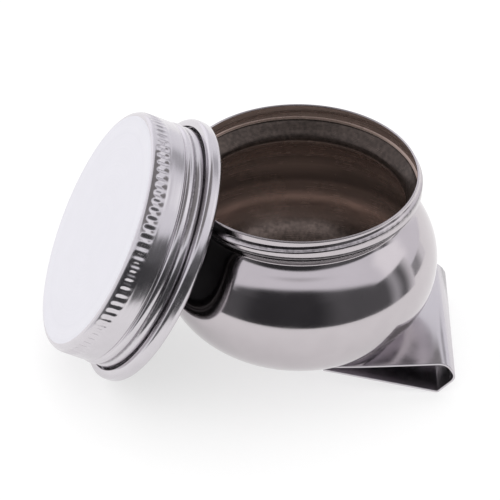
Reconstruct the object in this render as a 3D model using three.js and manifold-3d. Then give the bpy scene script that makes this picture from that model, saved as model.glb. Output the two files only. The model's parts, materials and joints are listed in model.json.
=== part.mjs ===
// Screw-lid dipper dish: a drawn steel cup with a threaded neck, a spring clip welded under its base,
// and a knurled screw lid with a sealing liner, taken off and leaning against the cup.
// Millimetres, +Z up along the cup's axis. The origin is on that axis, at the underside of the clip's
// upper leaf, where the dish sits on a palette.
import * as THREE from 'three';
import { mergeVertices } from 'three/addons/utils/BufferGeometryUtils.js';
import Module from 'manifold-3d';

const wasm = await Module();
wasm.setup();

// ---------- driving dimensions ----------
const SHEET = 0.4; // sheet steel of every pressed part
const ROUND_SIDES = 48; // facets round each turned part
const CURVE_STEPS = 4; // facets along each curved stretch of an outline
const WELD_GAP = 0.15; // cup base above the clip's upper leaf

const CUP_HEIGHT = 30.9;
const BASE_RADIUS = 15.3; // flat of the base
const BASE_CORNER = 1.2; // how far the round between base and bulge reaches
const BELLY = { r: 9, z: 13, across: 15, up: 14.2 }; // ellipse of the bulge, at mid-sheet
const BELLY_FROM = -56; // degrees, start and end of the bulge on that ellipse
const BELLY_TO = 42.5;
const THROAT = { r: 18.65, z: 24.6 }; // narrowest ring, under the thread, at mid-sheet
const SHOULDER_PULL = 0.55; // below the throat, where the bulge turns up into it
const NECK = { r: 20.75, z: 27.6, pull: 0.5 }; // crimped edge under the thread
const LIP_RADIUS = 20.45; // plain lip above the thread, at mid-sheet
const THREAD = { low: 27.9, high: 29.6, control: 21.5 }; // rolled bead, its two edges and how far it is pulled

const CLIP_WIDTH = 29.6;
const CLIP_YAW = 1.5; // degrees, as welded
const LEAF_BACK = -4; // free end of the upper leaf
const LEAF_KINK = 12; // the upper leaf lifts from here on
const LEAF_LIFT = 2; // degrees
const LEAF_END = 24; // where the bend starts
const BEND = { x: 26.9, z: -2.2 }; // outermost point of the bend
const NOSE = { x: 24, z: -5.42 }; // lower corner, which the cup stands on
const TIP = { x: 4, z: -0.4 }; // free end of the lower leaf
const BEND_BULGE = 0.3; // curve handles of the bend, past its outermost point and back from it
const BEND_LOW = { x: 0.5, z: 0.9 };
const BEND_HIGH = { x: 0.4, z: 1.1 };
const BEND_TURN = 1.2;

const LID_HEIGHT = 12.55;
const LID_FLAT = 20.4; // radius of the flat face
const SKIRT_RADIUS = 21.75; // mid-sheet
const LID_SHOULDER = 0.35; // round between face and knurls
const LID_GROOVE = { z: 6.1, half: 0.5, depth: 0.3 }; // groove above the rolled thread
const LID_THREAD = { low: 2.6, z: 4.2, out: 0.15 };
const KNURL_BAND = [9.2, 11.8]; // heights of the knurled band
const KNURL_COUNT = 85;
const KNURL_DEPTH = 0.3;
const KNURL_FOOT = 0.3; // slope from the knurls down to the plain skirt
const KNURL_OVERLAP = 0.02; // the toothed ring sinks this far into the skirt
const CURL = { r: 22.72, z: 1.17, radius: 0.97 }; // rolled collar, at mid-sheet
const CURL_SIDE = 2.2; // height of the collar's outer wall
const CURL_EDGE = { r: 22.85, z: 2.55 }; // its free edge, folded in towards the skirt

const LINER_RADIUS = 20.9;
const LINER_THICKNESS = 0.8;
const LINER_GAP = 0.3; // liner under the lid's face

const LID_RISE = 27.2; // degrees, how far the lid's axis points up
const LID_SWING = 185.5; // degrees, heading of the lid's axis
const LID_X = -24.15; // centre of the lid's open end
const LID_Y = -2.18;
const LID_STAND = 0.3; // the cup's lip holds the collar this far off the table

// ---------- looks ----------
const CUP_STEEL = new THREE.MeshStandardMaterial({ color: 0xb9b3b1, roughness: 0.16, metalness: 1 });
const CLIP_STEEL = new THREE.MeshStandardMaterial({ color: 0xc2bdba, roughness: 0.24, metalness: 1 });
const LID_STEEL = new THREE.MeshStandardMaterial({ color: 0xc9c5c6, roughness: 0.14, metalness: 1 });
const LINER_FOAM = new THREE.MeshStandardMaterial({ color: 0xe6e3dc, roughness: 0.8, metalness: 0 });

const degrees = THREE.MathUtils.degToRad;

// Closed outline of a sheet that follows a mid-line, half its thickness to each side.
function sheetOutline(midline, thickness) {
  const sides = [[], []];
  midline.forEach((point, i) => {
    const before = midline[Math.max(i - 1, 0)];
    const after = midline[Math.min(i + 1, midline.length - 1)];
    const into = point.clone().sub(before).normalize();
    const out = after.clone().sub(point).normalize();
    const along = into.clone().add(out).normalize();
    const mitre = Math.max(along.dot(i === 0 ? out : into), 0.5);
    const normal = new THREE.Vector2(along.y, -along.x).multiplyScalar(thickness / 2 / mitre);
    sides[0].push(point.clone().add(normal));
    sides[1].unshift(point.clone().sub(normal));
  });
  return [...sides[0], ...sides[1]];
}

// Turns an outline in (radius, height) round +Z.
function turned(outline) {
  const geometry = new THREE.LatheGeometry(outline, ROUND_SIDES);
  return geometry.rotateX(Math.PI / 2);
}

// A closed mesh as a solid: shared corners merged, and triangles that close to nothing on the axis dropped.
function toSolid(geometry) {
  geometry.deleteAttribute('normal');
  geometry.deleteAttribute('uv');
  const merged = mergeVertices(geometry, 1e-4);
  const corners = merged.index.array;
  const kept = [];
  for (let i = 0; i < corners.length; i += 3) {
    const [a, b, c] = corners.slice(i, i + 3);
    if (a !== b && b !== c && c !== a) kept.push(a, b, c);
  }
  const vertProperties = merged.attributes.position.array;
  return new wasm.Manifold(new wasm.Mesh({ numProp: 3, vertProperties, triVerts: new Uint32Array(kept) }));
}

function toGeometry(solid) {
  const mesh = solid.getMesh();
  const geometry = new THREE.BufferGeometry();
  geometry.setAttribute('position', new THREE.BufferAttribute(mesh.vertProperties, 3));
  geometry.setIndex(new THREE.BufferAttribute(mesh.triVerts, 1));
  geometry.computeVertexNormals();
  return geometry;
}

function part(name, geometry, material) {
  const mesh = new THREE.Mesh(geometry, material);
  mesh.name = name;
  return mesh;
}

// ---------- cup: flat base, bulged bowl, throat, threaded neck with a plain lip ----------
function cupMidline() {
  const floor = SHEET / 2;
  const start = degrees(BELLY_FROM);
  const bellyFoot = {
    r: BELLY.r + BELLY.across * Math.cos(start),
    z: BELLY.z + BELLY.up * Math.sin(start),
  };
  const path = new THREE.Path();
  path.moveTo(0, floor);
  path.lineTo(BASE_RADIUS, floor);
  path.quadraticCurveTo(BASE_RADIUS + BASE_CORNER, floor, bellyFoot.r, bellyFoot.z);
  path.absellipse(BELLY.r, BELLY.z, BELLY.across, BELLY.up, start, degrees(BELLY_TO), false, 0);
  path.quadraticCurveTo(THROAT.r, THROAT.z - SHOULDER_PULL, THROAT.r, THROAT.z);
  path.bezierCurveTo(THROAT.r, THROAT.z + 2 * NECK.pull, NECK.r, NECK.z - NECK.pull, NECK.r, NECK.z);
  path.lineTo(NECK.r, THREAD.low);
  path.quadraticCurveTo(THREAD.control, (THREAD.low + THREAD.high) / 2, LIP_RADIUS, THREAD.high);
  path.lineTo(LIP_RADIUS, CUP_HEIGHT);
  return path.getPoints(CURVE_STEPS);
}

function cupBody() {
  const mesh = part('cup_body', turned(sheetOutline(cupMidline(), SHEET)), CUP_STEEL);
  mesh.position.z = SHEET + WELD_GAP;
  return mesh;
}

// ---------- clip: one strip, upper leaf, rounded bend, sharp nose and sprung lower leaf ----------
function clipMidline() {
  const top = SHEET / 2;
  const lifted = top + (LEAF_END - LEAF_KINK) * Math.tan(degrees(LEAF_LIFT));
  const path = new THREE.Path();
  path.moveTo(TIP.x, TIP.z);
  path.lineTo(NOSE.x, NOSE.z);
  path.lineTo(BEND.x - BEND_LOW.x, BEND.z - BEND_LOW.z);
  path.quadraticCurveTo(BEND.x + BEND_BULGE, BEND.z, BEND.x - BEND_HIGH.x, BEND.z + BEND_HIGH.z);
  path.quadraticCurveTo(BEND.x - BEND_TURN, lifted, LEAF_END, lifted);
  path.lineTo(LEAF_KINK, top);
  path.lineTo(LEAF_BACK, top);
  return path.getPoints(CURVE_STEPS);
}

function paletteClip() {
  const outline = new THREE.Shape(sheetOutline(clipMidline(), SHEET));
  const geometry = new THREE.ExtrudeGeometry(outline, { depth: CLIP_WIDTH, bevelEnabled: false });
  geometry.translate(0, 0, -CLIP_WIDTH / 2);
  geometry.rotateX(Math.PI / 2);
  const mesh = part('palette_clip', geometry, CLIP_STEEL);
  mesh.rotation.z = degrees(CLIP_YAW);
  return mesh;
}

// ---------- lid, in its own frame: +Z out through its face, z = 0 at its open end ----------
function lidMidline() {
  const top = LID_HEIGHT - SHEET / 2;
  const path = new THREE.Path();
  path.moveTo(0, top);
  path.lineTo(LID_FLAT, top);
  path.quadraticCurveTo(SKIRT_RADIUS - LID_SHOULDER, top, SKIRT_RADIUS - KNURL_DEPTH, KNURL_BAND[1]);
  path.lineTo(SKIRT_RADIUS - KNURL_DEPTH, KNURL_BAND[0]);
  path.lineTo(SKIRT_RADIUS, KNURL_BAND[0] - KNURL_FOOT);
  path.lineTo(SKIRT_RADIUS, LID_GROOVE.z + LID_GROOVE.half);
  path.lineTo(SKIRT_RADIUS - LID_GROOVE.depth, LID_GROOVE.z);
  path.lineTo(SKIRT_RADIUS, LID_GROOVE.z - LID_GROOVE.half);
  path.quadraticCurveTo(SKIRT_RADIUS + LID_THREAD.out, LID_THREAD.z, SKIRT_RADIUS, LID_THREAD.low);
  path.absarc(CURL.r, CURL.z, CURL.radius, Math.PI, 2 * Math.PI, false);
  path.lineTo(CURL.r + CURL.radius, CURL_SIDE);
  path.lineTo(CURL_EDGE.r, CURL_EDGE.z);
  return path.getPoints(CURVE_STEPS);
}

// Toothed ring that stands on the skirt between the two heights of the knurled band.
function knurlRing() {
  const valley = SKIRT_RADIUS - KNURL_DEPTH + SHEET / 2;
  const outline = [];
  for (let i = 0; i < 2 * KNURL_COUNT; i += 1) {
    const radius = i % 2 ? valley - KNURL_OVERLAP : valley + KNURL_DEPTH;
    const angle = (i * Math.PI) / KNURL_COUNT;
    outline.push(new THREE.Vector2(radius * Math.cos(angle), radius * Math.sin(angle)));
  }
  const shape = new THREE.Shape(outline);
  const hole = new THREE.Path().absarc(0, 0, valley - SHEET / 2, 0, 2 * Math.PI, true);
  shape.holes.push(hole);
  const depth = KNURL_BAND[1] - KNURL_BAND[0];
  const ring = new THREE.ExtrudeGeometry(shape, { depth, bevelEnabled: false, curveSegments: ROUND_SIDES / 2 });
  return ring.translate(0, 0, KNURL_BAND[0]);
}

function lidShell() {
  const skin = toSolid(turned(sheetOutline(lidMidline(), SHEET)));
  return part('lid_shell', toGeometry(skin.add(toSolid(knurlRing()))), LID_STEEL);
}

function lidLiner() {
  const above = LID_HEIGHT - SHEET - LINER_GAP;
  const below = above - LINER_THICKNESS;
  const outline = [
    new THREE.Vector2(0, below),
    new THREE.Vector2(LINER_RADIUS, below),
    new THREE.Vector2(LINER_RADIUS, above),
    new THREE.Vector2(0, above),
  ];
  return part('lid_liner', turned(outline), LINER_FOAM);
}

// Leans the lid on the cup's lip, with its collar just over the level of the clip's nose.
function leaningLid() {
  const rise = degrees(LID_RISE);
  const heading = degrees(LID_SWING);
  const flat = Math.cos(rise);
  const axis = new THREE.Vector3(flat * Math.cos(heading), flat * Math.sin(heading), Math.sin(rise));
  const floor = NOSE.z - SHEET / 2;
  const curlDrop = CURL.r * flat + CURL.radius + SHEET / 2 - CURL.z * Math.sin(rise);
  const lid = new THREE.Group();
  lid.quaternion.setFromUnitVectors(new THREE.Vector3(0, 0, 1), axis);
  lid.position.set(LID_X, LID_Y, floor + curlDrop + LID_STAND);
  lid.add(lidShell(), lidLiner());
  return lid;
}

const dish = new THREE.Group();
dish.add(cupBody(), paletteClip(), leaningLid());

export default dish;
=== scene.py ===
"""Looks of the screw-lid dipper dish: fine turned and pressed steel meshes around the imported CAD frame."""
import json
import math

import bpy
import numpy as np
from mathutils import Matrix, Vector


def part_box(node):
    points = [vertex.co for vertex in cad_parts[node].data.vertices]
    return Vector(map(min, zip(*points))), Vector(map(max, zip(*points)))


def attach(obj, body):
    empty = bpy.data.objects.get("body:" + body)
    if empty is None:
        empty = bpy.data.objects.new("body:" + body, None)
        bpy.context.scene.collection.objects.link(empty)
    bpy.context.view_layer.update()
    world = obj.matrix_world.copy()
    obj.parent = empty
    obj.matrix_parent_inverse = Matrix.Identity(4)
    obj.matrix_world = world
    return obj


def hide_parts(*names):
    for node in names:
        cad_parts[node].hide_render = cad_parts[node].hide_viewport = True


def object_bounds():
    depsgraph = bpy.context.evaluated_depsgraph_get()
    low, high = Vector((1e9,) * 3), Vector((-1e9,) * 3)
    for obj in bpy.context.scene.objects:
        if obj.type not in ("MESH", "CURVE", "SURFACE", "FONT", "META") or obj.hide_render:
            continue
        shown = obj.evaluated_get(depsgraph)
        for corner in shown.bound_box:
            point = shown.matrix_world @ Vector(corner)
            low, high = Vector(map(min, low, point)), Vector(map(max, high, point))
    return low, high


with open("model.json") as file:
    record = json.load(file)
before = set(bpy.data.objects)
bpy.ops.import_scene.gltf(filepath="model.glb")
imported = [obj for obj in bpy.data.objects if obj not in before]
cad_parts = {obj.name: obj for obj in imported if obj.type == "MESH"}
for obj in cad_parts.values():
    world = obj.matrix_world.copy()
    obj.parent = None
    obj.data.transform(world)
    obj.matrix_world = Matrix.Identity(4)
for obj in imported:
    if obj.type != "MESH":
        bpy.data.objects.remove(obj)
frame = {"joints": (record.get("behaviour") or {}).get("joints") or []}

CAD_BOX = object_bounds()

# ---------- what the frame says; lengths of the dish are in millimetres, places in metres ----------
MM = 0.001
UP = Vector((0, 0, 1))

cup_low, cup_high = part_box("cup_body")
CUP_FLOOR = cup_low.z / MM  # underside of the base
RIM = cup_high.z / MM
CUP_TALL = RIM - CUP_FLOOR
TABLE_Z = CAD_BOX[0].z  # what the dish stands on

lid_turn = next(joint for joint in frame["joints"] if joint["name"] == "lid_turn")
LID_AXIS = Vector(lid_turn["axis"]).normalized()
LID_MOUTH = Vector(lid_turn["pos_m"])  # middle of the lid's open end

SHEET = 0.4  # thickness of every piece of steel
LIP_STEPS = 7  # points round a sheet's rounded free edge


# ---------- curves: points from the start up to the end, without the end itself ----------
def line(start, end, count):
    t = np.linspace(0, 1, count, endpoint=False)[:, None]
    return np.array(start) * (1 - t) + np.array(end) * t


def bend(start, control, end, count):
    """A curve with one control point."""
    t = np.linspace(0, 1, count, endpoint=False)[:, None]
    a, b, c = (np.array(p, float) for p in (start, control, end))
    return a * (1 - t) ** 2 + b * 2 * t * (1 - t) + c * t**2


def s_curve(start, first, second, end, count):
    """A curve with two control points."""
    t = np.linspace(0, 1, count, endpoint=False)[:, None]
    a, b, c, d = (np.array(p, float) for p in (start, first, second, end))
    return a * (1 - t) ** 3 + b * 3 * t * (1 - t) ** 2 + c * 3 * t**2 * (1 - t) + d * t**3


def arc(centre, radii, start, end, count):
    """Part of an ellipse, from one angle in degrees to another."""
    a = np.radians(np.linspace(start, end, count, endpoint=False))
    return np.stack([centre[0] + radii[0] * np.cos(a), centre[1] + radii[1] * np.sin(a)], 1)


# ---------- smooth steps and bumps for the rolled shapes ----------
def bell(value, centre, width):
    return np.exp(-(((value - centre) / width) ** 2))


def fade(value, low, high):
    """Rises smoothly from 0 at low to 1 at high, which may be the smaller of the two."""
    t = np.clip((value - low) / (high - low), 0, 1)
    return t * t * (3 - 2 * t)


# ---------- meshes ----------
def directions(mid):
    """Unit directions along a line of points and square to it, to its right."""
    along = np.gradient(mid, axis=0)
    along /= np.linalg.norm(along, axis=1)[:, None]
    return along, np.stack([along[:, 1], -along[:, 0]], 1)


def sheet_outline(mid):
    """Closed outline of a sheet along a mid-line that starts on the axis, with a rounded free edge."""
    along, normal = directions(mid)
    normal[0] = (0, -1) if normal[0, 1] < 0 else (0, 1)
    half = SHEET / 2
    angles = np.linspace(0, math.pi, LIP_STEPS + 2)[1:-1]
    lip = [mid[-1] + half * (normal[-1] * math.cos(a) + along[-1] * math.sin(a)) for a in angles]
    return np.concatenate([mid + normal * half, lip, (mid - normal * half)[::-1]])


def tube_faces(rows, count):
    """Four-sided faces between neighbouring rows, each of them a closed loop of points."""
    faces = []
    for i in range(rows - 1):
        for j in range(count):
            k = (j + 1) % count
            faces.append((i * count + j, i * count + k, (i + 1) * count + k, (i + 1) * count + j))
    return faces


def ring_mesh(name, outline, sides, warp=None):
    """Turns an outline in (radius, height) round +Z.

    warp(radius, height, angle) gives the radius of each point. The last two points of the mesh are
    the outline's two ends, on the axis.
    """
    angle = np.arange(sides) * 2 * math.pi / sides
    inner = outline[1:-1]
    radius = np.repeat(inner[:, :1], sides, 1)
    height = np.repeat(inner[:, 1:], sides, 1)
    if warp:
        radius = warp(radius, height, angle[None, :])
    rings = np.stack([radius * np.cos(angle), radius * np.sin(angle), height], -1).reshape(-1, 3)
    ends = np.array([[0, 0, outline[0, 1]], [0, 0, outline[-1, 1]]])
    points = np.concatenate([rings, ends]) * MM
    faces = tube_faces(len(inner), sides)
    first, last = len(rings), len(rings) + 1
    base = first - sides
    for j in range(sides):
        k = (j + 1) % sides
        faces.append((first, k, j))
        faces.append((last, base + j, base + k))
    mesh = bpy.data.meshes.new(name)
    mesh.from_pydata(points.tolist(), [], faces)
    return mesh


def add_object(mesh):
    obj = bpy.data.objects.new(mesh.name, mesh)
    bpy.context.scene.collection.objects.link(obj)
    return obj


def piece(mesh, body, slot, node, *materials):
    """Makes a mesh into a piece that rides on a body and replaces a CAD node."""
    mesh.validate()
    mesh.update()
    mesh.shade_smooth()
    for material in materials:
        mesh.materials.append(material)
    obj = add_object(mesh)
    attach(obj, body)
    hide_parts(node)


def paint(mesh, number, chosen):
    """Gives one of a mesh's materials to the faces whose corners are all chosen."""
    for polygon in mesh.polygons:
        if all(chosen[i] for i in polygon.vertices):
            polygon.material_index = number


# ---------- shader nodes ----------
class Nodes:
    """Adds and wires shader nodes."""

    def __init__(self, tree):
        self.tree = tree

    def add(self, kind, **settings):
        node = self.tree.nodes.new(kind)
        for key, value in settings.items():
            setattr(node, key, value)
        return node

    def link(self, start, end):
        self.tree.links.new(start, end)

    def math(self, operation, first, second=None):
        """Works something out from one or two values, each a number or a socket."""
        node = self.add("ShaderNodeMath", operation=operation)
        for socket, value in zip(node.inputs, (first, second)):
            if isinstance(value, float):
                socket.default_value = value
            elif value is not None:
                self.link(value, socket)
        return node.outputs["Value"]

    def blend(self, factor, under, over):
        """Mixes two colours, each a tuple or a socket."""
        mix = self.add("ShaderNodeMix", data_type="RGBA")
        for socket, colour in ((mix.inputs["A"], under), (mix.inputs["B"], over)):
            if isinstance(colour, tuple):
                socket.default_value = (*colour, 1)
            else:
                self.link(colour, socket)
        self.link(factor, mix.inputs["Factor"])
        return mix.outputs["Result"]

    def noise(self, coordinates, scale, detail):
        texture = self.add("ShaderNodeTexNoise")
        texture.inputs["Scale"].default_value = scale
        texture.inputs["Detail"].default_value = detail
        self.link(coordinates, texture.inputs["Vector"])
        return texture.outputs["Fac"]

    def ramp(self, value, low, high, start, end, smooth=False):
        """Goes from start at low to end at high."""
        node = self.add("ShaderNodeMapRange", interpolation_type="SMOOTHSTEP" if smooth else "LINEAR")
        node.inputs["From Min"].default_value = low
        node.inputs["From Max"].default_value = high
        node.inputs["To Min"].default_value = start
        node.inputs["To Max"].default_value = end
        self.link(value, node.inputs["Value"])
        return node.outputs["Result"]

    def spread(self, noise, start=0, end=1):
        """Stretches the middle of a noise's range over start to end."""
        return self.ramp(noise, 0.3, 0.7, start, end)

    def window(self, value, low, high, soft):
        """1 between two values and 0 outside them, with soft edges."""
        rise = self.ramp(value, low - soft, low + soft, 0, 1, smooth=True)
        fall = self.ramp(value, high - soft, high + soft, 1, 0, smooth=True)
        return self.math("MULTIPLY", rise, fall)

    def bump(self, height, strength, distance, under=None):
        node = self.add("ShaderNodeBump")
        node.inputs["Strength"].default_value = strength
        node.inputs["Distance"].default_value = distance
        self.link(height, node.inputs["Height"])
        if under:
            self.link(under, node.inputs["Normal"])
        return node.outputs["Normal"]


def new_material(name):
    """A material, the nodes in it and its shader."""
    material = bpy.data.materials.new(name)
    material.use_nodes = True
    return material, Nodes(material.node_tree), material.node_tree.nodes["Principled BSDF"]


def scaled(tint, factor):
    return tuple(c * factor for c in tint)


# ---------- materials ----------
# Scale per metre and detail of each pattern in the steel.
SCRATCHES = (9000, 3)
GRAIN = (3500, 2)
SPECKLE = (1500, 3)
SPINNING = (330, 2)
CLOUDS = (240, 4)
SWELLS = (90, 1)

FINE_DEEP = 0.000004  # metres, the scratches and the grain
SWELL_DEEP = 0.00006
RADIUS_SOFT = 0.05  # how softly a band ends towards the axis and away from it


def turned_coordinates(nodes, origin, axis):
    """Places measured from a turned piece's own axis: first as (radius, 0, height), then as (x, y, z)."""
    mapping = nodes.add("ShaderNodeMapping", vector_type="TEXTURE")
    mapping.inputs["Location"].default_value = origin
    mapping.inputs["Rotation"].default_value = UP.rotation_difference(axis).to_euler()
    nodes.link(nodes.add("ShaderNodeTexCoord").outputs["Object"], mapping.inputs["Vector"])
    place = mapping.outputs["Vector"]
    split = nodes.add("ShaderNodeSeparateXYZ")
    nodes.link(place, split.inputs["Vector"])
    flat = nodes.add("ShaderNodeCombineXYZ")
    nodes.link(split.outputs["X"], flat.inputs["X"])
    nodes.link(split.outputs["Y"], flat.inputs["Y"])
    length = nodes.add("ShaderNodeVectorMath", operation="LENGTH")
    nodes.link(flat.outputs["Vector"], length.inputs[0])
    hoops = nodes.add("ShaderNodeCombineXYZ")
    nodes.link(length.outputs["Value"], hoops.inputs["X"])
    nodes.link(split.outputs["Z"], hoops.inputs["Z"])
    return hoops.outputs["Vector"], place


def painted_shade_bands(nodes, colour, hoops, place, tint, bands):
    """Lays painted shade over a colour: darker, speckled bands in grooves and hollows."""
    split = nodes.add("ShaderNodeSeparateXYZ")
    nodes.link(hoops, split.inputs["Vector"])
    speckle = nodes.spread(nodes.noise(place, *SPECKLE))
    for low, high, (inner, outer), soft, shade in bands:
        across = nodes.window(split.outputs["Z"], low * MM, high * MM, soft * MM)
        around = nodes.window(split.outputs["X"], inner * MM, outer * MM, RADIUS_SOFT * MM)
        # painted shade: inside each band the steel's colour is made darker, with a speckle
        painted_shade = nodes.blend(speckle, scaled(tint, shade * 0.6), scaled(tint, shade * 1.3))
        colour = nodes.blend(nodes.math("MULTIPLY", across, around), colour, painted_shade)
    return colour


def steel(name, origin, axis, tint, rough, *, wear=0.05, waves=0.25, hoops_deep=0.12,
          rings=0.0, metal=1.0, cloudy=1.0, bands=()):
    """Pressed steel with fine hoop scratches, a cloudy polish and a faint unevenness in the sheet.

    wear: how much darker the cloudy parts are. waves, hoops_deep: strength of the swells and scratches.
    rings: how much darker the broad spinning marks are. metal: below 1 on the dull, unpolished inside.
    cloudy: how uneven the polish is.
    bands: (low height, high height, (inner, outer) radius, soft edge, shade) of grooves and hollows with
    painted shade.
    """
    material, nodes, shader = new_material(name)
    hoops, place = turned_coordinates(nodes, origin, axis)
    scratches = nodes.noise(hoops, *SCRATCHES)
    clouds = nodes.noise(place, *CLOUDS)

    colour = nodes.blend(nodes.spread(clouds), scaled(tint, 1 - wear), tint)
    if rings:
        spun = nodes.spread(nodes.noise(hoops, *SPINNING))
        colour = nodes.blend(spun, scaled(tint, 1 - rings), colour)
    if bands:
        colour = painted_shade_bands(nodes, colour, hoops, place, tint, bands)
    nodes.link(colour, shader.inputs["Base Color"])

    polish = nodes.spread(clouds, rough * (1 - 0.3 * cloudy), rough * (1 + 0.2 * cloudy))
    scratched = nodes.spread(scratches, 0, rough * 0.35)
    nodes.link(nodes.math("ADD", polish, scratched), shader.inputs["Roughness"])

    normal = nodes.bump(nodes.noise(place, *SWELLS), waves, SWELL_DEEP)
    normal = nodes.bump(scratches, hoops_deep, FINE_DEEP, normal)
    normal = nodes.bump(nodes.noise(place, *GRAIN), 0.3, FINE_DEEP, normal)
    nodes.link(normal, shader.inputs["Normal"])
    shader.inputs["Metallic"].default_value = metal
    return material


def foam(name):
    """Near-black foam with fine open cells; the near-black is painted shade inside the lid."""
    material, nodes, shader = new_material(name)
    cells = nodes.noise(nodes.add("ShaderNodeTexCoord").outputs["Object"], 2600, 3)
    colour = nodes.blend(nodes.spread(cells), (0.012, 0.012, 0.013), (0.03, 0.03, 0.031))
    nodes.link(colour, shader.inputs["Base Color"])
    nodes.link(nodes.spread(cells, 0.75, 0.9), shader.inputs["Roughness"])
    nodes.link(nodes.bump(cells, 0.4, 0.00005), shader.inputs["Normal"])
    return material


def cup_steel(name, tint, rough, **looks):
    return steel(name, (0, 0, 0), UP, tint, rough, **looks)


def lid_steel(name, tint, rough, **looks):
    return steel(name, LID_MOUTH, LID_AXIS, tint, rough, **looks)


WIDE = (0, 60)  # radii of bands that reach over the whole piece
CUP_STEEL = cup_steel("cup_steel", (0.54, 0.5, 0.52), 0.1, bands=(
    (RIM - 1.85, RIM - 1.15, (20.3, 60), 0.15, 0.62),  # painted shade in the groove where the thread starts
    (RIM - 3.4, RIM - 3.05, (20.7, 60), 0.12, 0.42),  # painted shade along the crimp line
    (RIM - 6.1, RIM - 3.4, WIDE, 0.12, 0.22),  # painted shade in the hollow between neck and throat
))
CUP_INSIDE = cup_steel("cup_inside_steel", (0.72, 0.55, 0.48), 0.22, wear=0.1, rings=0.6, metal=0.7, bands=(
    (CUP_FLOOR - 3, CUP_FLOOR + 6, WIDE, 1.5, 0.24),  # painted shade over the floor and foot
    (RIM - 6.4, RIM - 3.1, WIDE, 0.2, 0.1),  # painted shade on the shelf between neck and throat
))
CLIP_STEEL = cup_steel("clip_steel", (0.6, 0.57, 0.6), 0.18)
LID_STEEL = lid_steel("lid_steel", (0.64, 0.61, 0.64), 0.19, bands=(
    (-1, 2.5, (21.4, 22.7), 0.12, 0.3),  # painted shade in the gap between the skirt and the rolled collar
    (4.1, 4.4, WIDE, 0.12, 0.6),  # painted shade in the lower groove
))
# painted shade: the lid's inside steel is made near-black
LID_INSIDE_SHADED = lid_steel("lid_inside_shaded_steel", (0.12, 0.11, 0.11), 0.3, rings=0.3)
# painted light: the face gets a brighter, bluer copy of the steel colour; its higher roughness is the satin
# finish
LID_FACE_LIT = lid_steel("lid_face_lit_steel", (0.79, 0.78, 0.82), 0.42, wear=0.02, waves=0.0,
                     hoops_deep=0.03, cloudy=0.1)
# painted shade: the liner is made near-black so that the lid's inside reads dark
SHADED_LINER_FOAM = foam("liner_foam")

# ---------- cup; a pull is how far a curve's control point lies from the curve's end ----------
CUP_SIDES = 360
BASE_FLAT = 15.3  # radius of the flat base
BASE_PULL = 1.2
BELLY_CENTRE = (9, 13)
BELLY_RADII = (15, 14.2)
FOOT, SHOULDER = -56, 42.5  # angles of the ends of the belly's arc
SHOULDER_PULL = 0.55
THROAT = (18.65, 24.62)  # narrowest ring, at mid-sheet
THROAT_PULL = 1.0
NECK = (20.75, 27.6)  # crimped edge under the thread
NECK_PULL = 0.5
LIP = 20.45

# The thread, as distances below the rim.
THREAD_START = 1.4  # in front; less on the right and more on the left
THREAD_CLIMB = 0.6
THREAD_PROUD = 0.27
CRIMP = 3.1
CRIMP_DEEP = 0.16
NECK_END = (3.4, 3.7)  # all of it fades out between these
WRINKLE = 0.014  # height of the fine wrinkles along the thread and the crimp line


def cup_midline():
    floor, top = SHEET / 2, CUP_TALL - SHEET / 2
    foot = arc(BELLY_CENTRE, BELLY_RADII, FOOT, SHOULDER, 1)[0]
    shoulder = arc(BELLY_CENTRE, BELLY_RADII, SHOULDER, FOOT, 1)[0]
    return np.concatenate([
        line((0, floor), (BASE_FLAT, floor), 14),
        bend((BASE_FLAT, floor), (BASE_FLAT + BASE_PULL, floor), foot, 16),
        arc(BELLY_CENTRE, BELLY_RADII, FOOT, SHOULDER, 80),
        bend(shoulder, (THROAT[0], THROAT[1] - SHOULDER_PULL), THROAT, 24),
        s_curve(THROAT, (THROAT[0], THROAT[1] + THROAT_PULL), (NECK[0], NECK[1] - NECK_PULL), NECK, 26),
        line(NECK, (NECK[0], top), 90),
        [(NECK[0], top)],
    ])


def neck_warp(radius, height, angle):
    """The neck: a plain lip, a rolled thread that climbs to the right, and a crimp line with wrinkles."""
    below = RIM - height
    start = THREAD_START - THREAD_CLIMB * np.cos(angle)
    lip = 1 - fade(below, start - 0.5, start + 0.5)
    bead = fade(below, start - 0.1, start + 0.6) * fade(below, CRIMP, CRIMP - 0.35)
    change = (LIP - NECK[0]) * lip + THREAD_PROUD * bead - CRIMP_DEEP * bell(below, CRIMP, 0.12)
    wrinkle = np.sin(angle * 96 + 3 * np.sin(angle * 11)) * np.sin(angle * 37)
    change = change + WRINKLE * wrinkle * (bell(below, start, 0.3) + bell(below, NECK_END[0], 0.25))
    return radius + change * fade(below, NECK_END[1], NECK_END[0])


def make_cup():
    mid = cup_midline()
    outline = sheet_outline(mid)
    outline[:, 1] += CUP_FLOOR
    mesh = ring_mesh("cup_shell", outline, CUP_SIDES, neck_warp)
    piece(mesh, "cup", "cup_steel", "cup_body", CUP_STEEL, CUP_INSIDE)
    inside = np.arange(len(mesh.vertices)) >= (len(mid) + LIP_STEPS - 1) * CUP_SIDES
    paint(mesh, 1, inside)


# ---------- clip: a strip along a mid-line in (X, Z), from the lower leaf's tip to the upper's ----------
CLIP_WIDE = 29.6
CLIP_YAW = math.radians(1.5)
CLIP_EDGE = 0.08  # radius of the strip's rounded edges
LOWER_TIP = (4, -0.4)
CORNER_LOW, CORNER, CORNER_HIGH = (23.75, -5.36), (24.02, -5.43), (24.22, -5.2)
BEND_LOW, BEND_SIDE, BEND_HIGH = (26.4, -3.1), (27.2, -2.2), (26.5, -1.1)
BEND_TURN, BEND_TOP = 25.7, 24  # X of the bend's last control point and of its end
LEAF_RISE = 11  # from here to the bend the upper leaf is lifted a little
LEAF_MIDDLE = 18
LEAF_LIFT = 12 * math.tan(math.radians(2))
UPPER_TIP = -4


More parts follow.
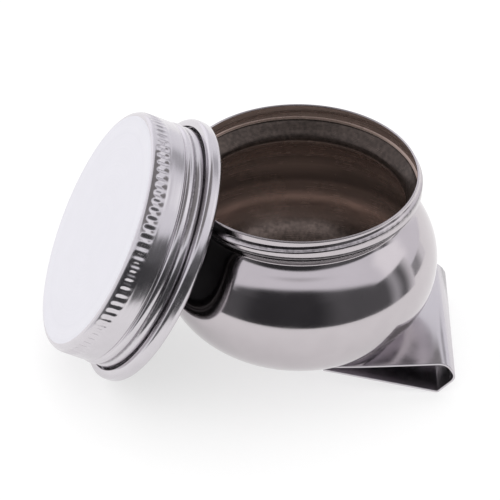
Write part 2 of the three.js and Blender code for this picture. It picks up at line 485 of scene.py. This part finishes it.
def clip_midline():
    top = SHEET / 2
    lifted = top + LEAF_LIFT
    return np.concatenate([
        line(LOWER_TIP, CORNER_LOW, 24),
        bend(CORNER_LOW, CORNER, CORNER_HIGH, 6),
        line(CORNER_HIGH, BEND_LOW, 8),
        bend(BEND_LOW, BEND_SIDE, BEND_HIGH, 14),
        bend(BEND_HIGH, (BEND_TURN, lifted), (BEND_TOP, lifted), 14),
        bend((BEND_TOP, lifted), (LEAF_MIDDLE, (top + lifted) / 2), (LEAF_RISE, top), 12),
        line((LEAF_RISE, top), (UPPER_TIP, top), 10),
        [(UPPER_TIP, top)],
    ])


def clip_section():
    """The strip's section as (across, depth) points, with rounded edges."""
    half = SHEET / 2
    edge = [(half - CLIP_EDGE, 0), (half - CLIP_EDGE * 0.3, CLIP_EDGE * 0.3), (half, CLIP_EDGE)]
    upper = [(-CLIP_WIDE / 2 + inset, depth) for depth, inset in edge]
    upper += [(CLIP_WIDE / 2 - inset, depth) for depth, inset in reversed(edge)]
    return upper + [(y, -depth) for y, depth in reversed(upper)]


def make_clip():
    mid = clip_midline()
    section = clip_section()
    normal = directions(mid)[1]
    rows = [[(x + nx * depth, y, z + nz * depth) for y, depth in section]
            for (x, z), (nx, nz) in zip(mid, normal)]
    points = np.array(rows).reshape(-1, 3)
    cos, sin = math.cos(CLIP_YAW), math.sin(CLIP_YAW)
    points = points @ np.array([[cos, sin, 0], [-sin, cos, 0], [0, 0, 1]])
    count = len(section)
    faces = tube_faces(len(mid), count)
    faces.append(tuple(range(count)))
    faces.append(tuple(range(len(points) - count, len(points)))[::-1])
    mesh = bpy.data.meshes.new("clip_strip")
    mesh.from_pydata((points * MM).tolist(), [], faces)
    piece(mesh, "cup", "clip_steel", "palette_clip", CLIP_STEEL)
    mesh.set_sharp_from_angle(angle=math.radians(50))


# ---------- lid, turned round +Z and then leaned along the joint's axis ----------
KNURLS = 85
LID_SIDES = KNURLS * 10
LID_TALL = 12.4
LID_TOP = LID_TALL - SHEET / 2  # mid-sheet
LID_FLAT = 20.4  # radius of the flat face
LID_EDGE = (21.2, 21.45, 21.7)  # radii round the face's edge: control point, point, control point
SKIRT = 21.75
KNURL_BAND = (9.15, 11.85)
KNURL_DEEP = 0.22
SKIRT_ROWS = ((LID_TOP - 1.2, 24), (9, 10), (7, 90), (2.4, 8))  # (height, number of rows below it)
SKIRT_ROLLS = (  # (height, width, how far it stands out) of the beads and grooves
    (6.1, 0.24, -0.34),
    (5.35, 0.6, 0.16),
    (4.25, 0.3, -0.26),
    (3.4, 0.5, 0.06),
)
SKIRT_NEAR = (21.2, 21.45)  # radii where all this fades in and out, so that face and collar stay plain
SKIRT_FAR = (22.35, 22.1)
SKIRT_CROWN = 0.05  # how far the plain band between knurls and groove is rounded off
COLLAR_STEP = 0.1  # how far the skirt steps in above the collar
CURL_CENTRE = (22.72, 1.17)
CURL_RADIUS = 0.97
CURL_FOLD = 1.9  # height where the collar's side starts to fold in
CURL_EDGE = (22.6, 2.56)  # free edge of the sheet
FACE_RADIUS = 20.9  # the face's painted light (a brighter, bluer steel colour) and its satin roughness end here
FACE_DEPTH = 0.12


def lid_midline():
    face, turned, low = LID_EDGE
    wall = CURL_CENTRE[0] + CURL_RADIUS
    fold = CURL_FOLD + 0.5
    heights = [height for height, _ in SKIRT_ROWS] + [CURL_CENTRE[1]]
    skirt = [line((SKIRT, start), (SKIRT, end), count)
             for start, end, (_, count) in zip(heights, heights[1:], SKIRT_ROWS)]
    return np.concatenate([
        line((0, LID_TOP), (LID_FLAT, LID_TOP), 20),
        bend((LID_FLAT, LID_TOP), (face, LID_TOP), (turned, LID_TOP - 0.35), 14),
        bend((turned, LID_TOP - 0.35), (low, LID_TOP - 0.7), (SKIRT, heights[0]), 12),
        *skirt,
        arc(CURL_CENTRE, (CURL_RADIUS, CURL_RADIUS), 180, 360, 36),
        line((wall, CURL_CENTRE[1]), (wall, CURL_FOLD), 8),
        s_curve((wall, CURL_FOLD), (wall, fold), (wall - 0.3, fold + 0.1), CURL_EDGE, 14),
        [CURL_EDGE],
    ])


def skirt_warp(radius, height, angle):
    """Knurls under the face, a plain band, then beads and grooves down to the collar."""
    low, high = KNURL_BAND
    band = fade(height, low, low + 1.15) * fade(height, high + 0.15, high - 1.0)
    change = -KNURL_DEEP * (0.5 - 0.5 * np.cos(angle * KNURLS)) * band
    for middle, width, proud in SKIRT_ROLLS:
        change = change + proud * bell(height, middle, width)
    change = change - COLLAR_STEP * fade(height, 2.8, 2.3)
    plain = fade(height, 6.4, 6.9) * fade(height, 9.2, 8.8)
    change = change - SKIRT_CROWN * fade(np.abs(height - 7.8), 0.4, 1.8) * plain
    return radius + change * fade(radius, *SKIRT_NEAR) * fade(radius, *SKIRT_FAR)


def lean(mesh):
    turn_up = UP.rotation_difference(LID_AXIS).to_matrix().to_4x4()
    mesh.transform(Matrix.Translation(LID_MOUTH) @ turn_up)


def make_lid():
    mid = lid_midline()
    mesh = ring_mesh("lid_cap", sheet_outline(mid), LID_SIDES, skirt_warp)
    points = np.array([v.co for v in mesh.vertices]) / MM
    radii = np.hypot(points[:, 0], points[:, 1])
    on_face = (points[:, 2] > LID_TALL - FACE_DEPTH) & (radii < FACE_RADIUS)
    inside = (np.arange(len(points)) < (len(mid) - 1) * LID_SIDES) & (radii < SKIRT)
    inside[-2] = True  # middle of the face, inside
    lean(mesh)
    piece(mesh, "lid", "lid_steel", "lid_shell", LID_STEEL, LID_FACE_LIT, LID_INSIDE_SHADED)
    paint(mesh, 1, on_face)
    paint(mesh, 2, inside)


# ---------- liner, pressed into the lid ----------
LINER_RADIUS = 20.9
LINER_THICK = 0.8
LINER_GAP = 0.3  # under the lid's face
LINER_EDGE = 0.2


def make_liner():
    above = LID_TALL - SHEET - LINER_GAP
    below = above - LINER_THICK
    edge = LINER_RADIUS - LINER_EDGE
    outline = np.concatenate([
        line((0, below), (edge, below), 12),
        bend((edge, below), (LINER_RADIUS, below), (LINER_RADIUS, below + LINER_EDGE), 4),
        bend((LINER_RADIUS, above - LINER_EDGE), (LINER_RADIUS, above), (edge, above), 4),
        line((edge, above), (0, above), 12),
        [(0, above)],
    ])
    mesh = ring_mesh("liner_disc", outline, 160)
    lean(mesh)
    piece(mesh, "liner", "liner_foam", "lid_liner", SHADED_LINER_FOAM)


make_cup()
make_clip()
make_lid()
make_liner()

# ---------- studio: a white floor, a room that only reflections see, and two cards ----------
FLOOR_REACH = 4.0
FLOOR_GAP = 0.00002  # under the dish, so that the two don't share a plane
ALL_ROUND = (-200, 200)  # bearings
ALL_HEIGHTS = (-90, 90)

ROOM = (0.95, 0.95, 0.99)
CEILING = (0.24, 0.23, 0.23)
DAYLIGHT = (1.1, 1.1, 1.1)  # what lights the dish, the same from all sides
DIM = (0.115, 0.115, 0.12)  # the dark side of the room, in front
DIM_BEARINGS = (-58, 70)
DARK = (0.04, 0.04, 0.043)  # the darker middle of it
DARK_BEARINGS = (-38, 21)
DARK_HEIGHTS = (-40, 36)
DARK_BOW = 0.004


def make_floor():
    mesh = bpy.data.meshes.new("floor")
    corners = [(-1, -1), (1, -1), (1, 1), (-1, 1)]
    points = [(x * FLOOR_REACH, y * FLOOR_REACH, TABLE_Z - FLOOR_GAP) for x, y in corners]
    mesh.from_pydata(points, [], [(0, 1, 2, 3)])
    material, _, shader = new_material("floor_white")
    shader.inputs["Base Color"].default_value = (0.45, 0.45, 0.45, 1)
    shader.inputs["Emission Color"].default_value = (1, 1, 1, 1)
    shader.inputs["Emission Strength"].default_value = 0.6
    shader.inputs["Roughness"].default_value = 0.9
    shader.inputs["Specular IOR Level"].default_value = 0.1
    mesh.materials.append(material)
    add_object(mesh)


class Sky(Nodes):
    """Colours by direction: bearing in degrees, 0 to the front and + to the right, and height in degrees."""

    def __init__(self, tree, direction):
        super().__init__(tree)
        split = self.add("ShaderNodeSeparateXYZ")
        self.link(direction, split.inputs["Vector"])
        back = self.math("MULTIPLY", split.outputs["Y"], -1.0)
        self.bearing = self.math("DEGREES", self.math("ARCTAN2", split.outputs["X"], back))
        self.height = self.math("DEGREES", self.math("ARCSINE", split.outputs["Z"]))

    def patch(self, under, colour, bearings, heights, soft, bow=0.0):
        """Lays a soft-edged patch over a colour. bow lowers its top edge to the sides."""
        height = self.height
        if bow:
            lowered = self.math("MULTIPLY", self.math("POWER", self.bearing, 2.0), bow)
            height = self.math("ADD", height, lowered)
        across = self.window(self.bearing, *bearings, soft[0])
        upward = self.window(height, *heights, soft[1])
        return self.blend(self.math("MULTIPLY", across, upward), under, colour)


def table_edge(sky):
    """The dark side of the room again, close by, for what the belly reflects, and a lit strip on its right."""
    colour = sky.patch((0.9, 0.9, 0.92), DIM, (DIM_BEARINGS[0], 86), ALL_HEIGHTS, (6, 1))
    colour = sky.patch(colour, DARK, DARK_BEARINGS, ALL_HEIGHTS, (10, 1))
    return sky.patch(colour, (0.5, 0.5, 0.52), (69, 77), ALL_HEIGHTS, (5, 1))


def right_blob(sky):
    """A grey patch low on the right."""
    return sky.patch((0.95, 0.95, 0.97), (0.38, 0.38, 0.39), (93, 108), ALL_HEIGHTS, (5, 1))


def make_card(name, radius, bearings, top, shade):
    """A card curved round the dish, seen only in the steel's reflections. shade(sky) gives its colour."""
    steps = 60
    angles = np.radians(np.linspace(*bearings, steps))
    points = [(radius * math.sin(a), -radius * math.cos(a), z) for a in angles for z in (TABLE_Z, top)]
    mesh = bpy.data.meshes.new(name)
    mesh.from_pydata(points, [], [(2 * i, 2 * i + 2, 2 * i + 3, 2 * i + 1) for i in range(steps - 1)])
    material, nodes, shader = new_material(name)
    level = nodes.add("ShaderNodeVectorMath", operation="MULTIPLY")
    level.inputs[1].default_value = (1, 1, 0)
    nodes.link(nodes.add("ShaderNodeTexCoord").outputs["Object"], level.inputs[0])
    colour = shade(Sky(nodes.tree, level.outputs["Vector"]))
    nodes.link(colour, shader.inputs["Emission Color"])
    shader.inputs["Emission Strength"].default_value = 1
    shader.inputs["Base Color"].default_value = (0, 0, 0, 1)
    shader.inputs["Specular IOR Level"].default_value = 0
    mesh.materials.append(material)
    card = add_object(mesh)
    card.visible_camera = False
    card.visible_diffuse = False
    card.visible_shadow = False


def make_world():
    world = bpy.data.worlds.new("studio")
    bpy.context.scene.world = world
    world.use_nodes = True
    tree = world.node_tree
    sky = Sky(tree, tree.nodes.new("ShaderNodeTexCoord").outputs["Generated"])
    colour = sky.patch(ROOM, CEILING, ALL_ROUND, (51, 120), (1, 4))
    colour = sky.patch(colour, DIM, DIM_BEARINGS, DARK_HEIGHTS, (9, 4), DARK_BOW)
    colour = sky.patch(colour, DARK, DARK_BEARINGS, DARK_HEIGHTS, (10, 4), DARK_BOW)
    colour = sky.patch(colour, (1.2, 1.2, 1.22), (78, 108), (12, 44), (6, 6))  # soft box on the right
    colour = sky.patch(colour, (0.46, 0.46, 0.48), (122, 150), (25, 40), (6, 5))  # grey screen behind it
    colour = sky.patch(colour, (1.25, 1.25, 1.3), (-172, -118), (-20, 20), (8, 6))  # soft box on the left
    rays = sky.add("ShaderNodeLightPath")
    light = sky.blend(rays.outputs["Is Glossy Ray"], DAYLIGHT, colour)
    sky.link(light, tree.nodes["Background"].inputs["Color"])


make_floor()
make_card("front_card", radius=0.085, bearings=(-80, 92), top=0.04, shade=table_edge)
make_card("right_card", radius=0.13, bearings=(84, 117), top=0.022, shade=right_blob)
make_world()

# ---------- camera: a long lens, from the front and above; lengths in metres ----------
SENSOR = 36
LENS = 324
ELEVATION = math.radians(36.4)
ROLL = math.radians(0.4)
DISTANCE = 0.775
RIGHT_OF_MIDDLE = 0.008594  # how far the rim's centre lies from the middle of the picture
ABOVE_MIDDLE = 0.013502


def make_camera():
    data = bpy.data.cameras.new("camera")
    data.sensor_width = SENSOR
    data.lens = LENS
    data.clip_end = 20
    camera = bpy.data.objects.new("camera", data)
    bpy.context.scene.collection.objects.link(camera)
    level = Vector((1, 0, 0))
    forward = Vector((0, math.cos(ELEVATION), -math.sin(ELEVATION)))
    upright = level.cross(forward)
    right = level * math.cos(ROLL) + upright * math.sin(ROLL)
    up = upright * math.cos(ROLL) - level * math.sin(ROLL)
    rim = Vector((0, 0, RIM * MM))
    place = rim - forward * DISTANCE - right * RIGHT_OF_MIDDLE - up * ABOVE_MIDDLE
    rotation = Matrix((right, up, -forward)).transposed()
    camera.matrix_world = Matrix.Translation(place) @ rotation.to_4x4()
    bpy.context.scene.camera = camera


make_camera()
bpy.context.scene.view_settings.view_transform = "Standard"
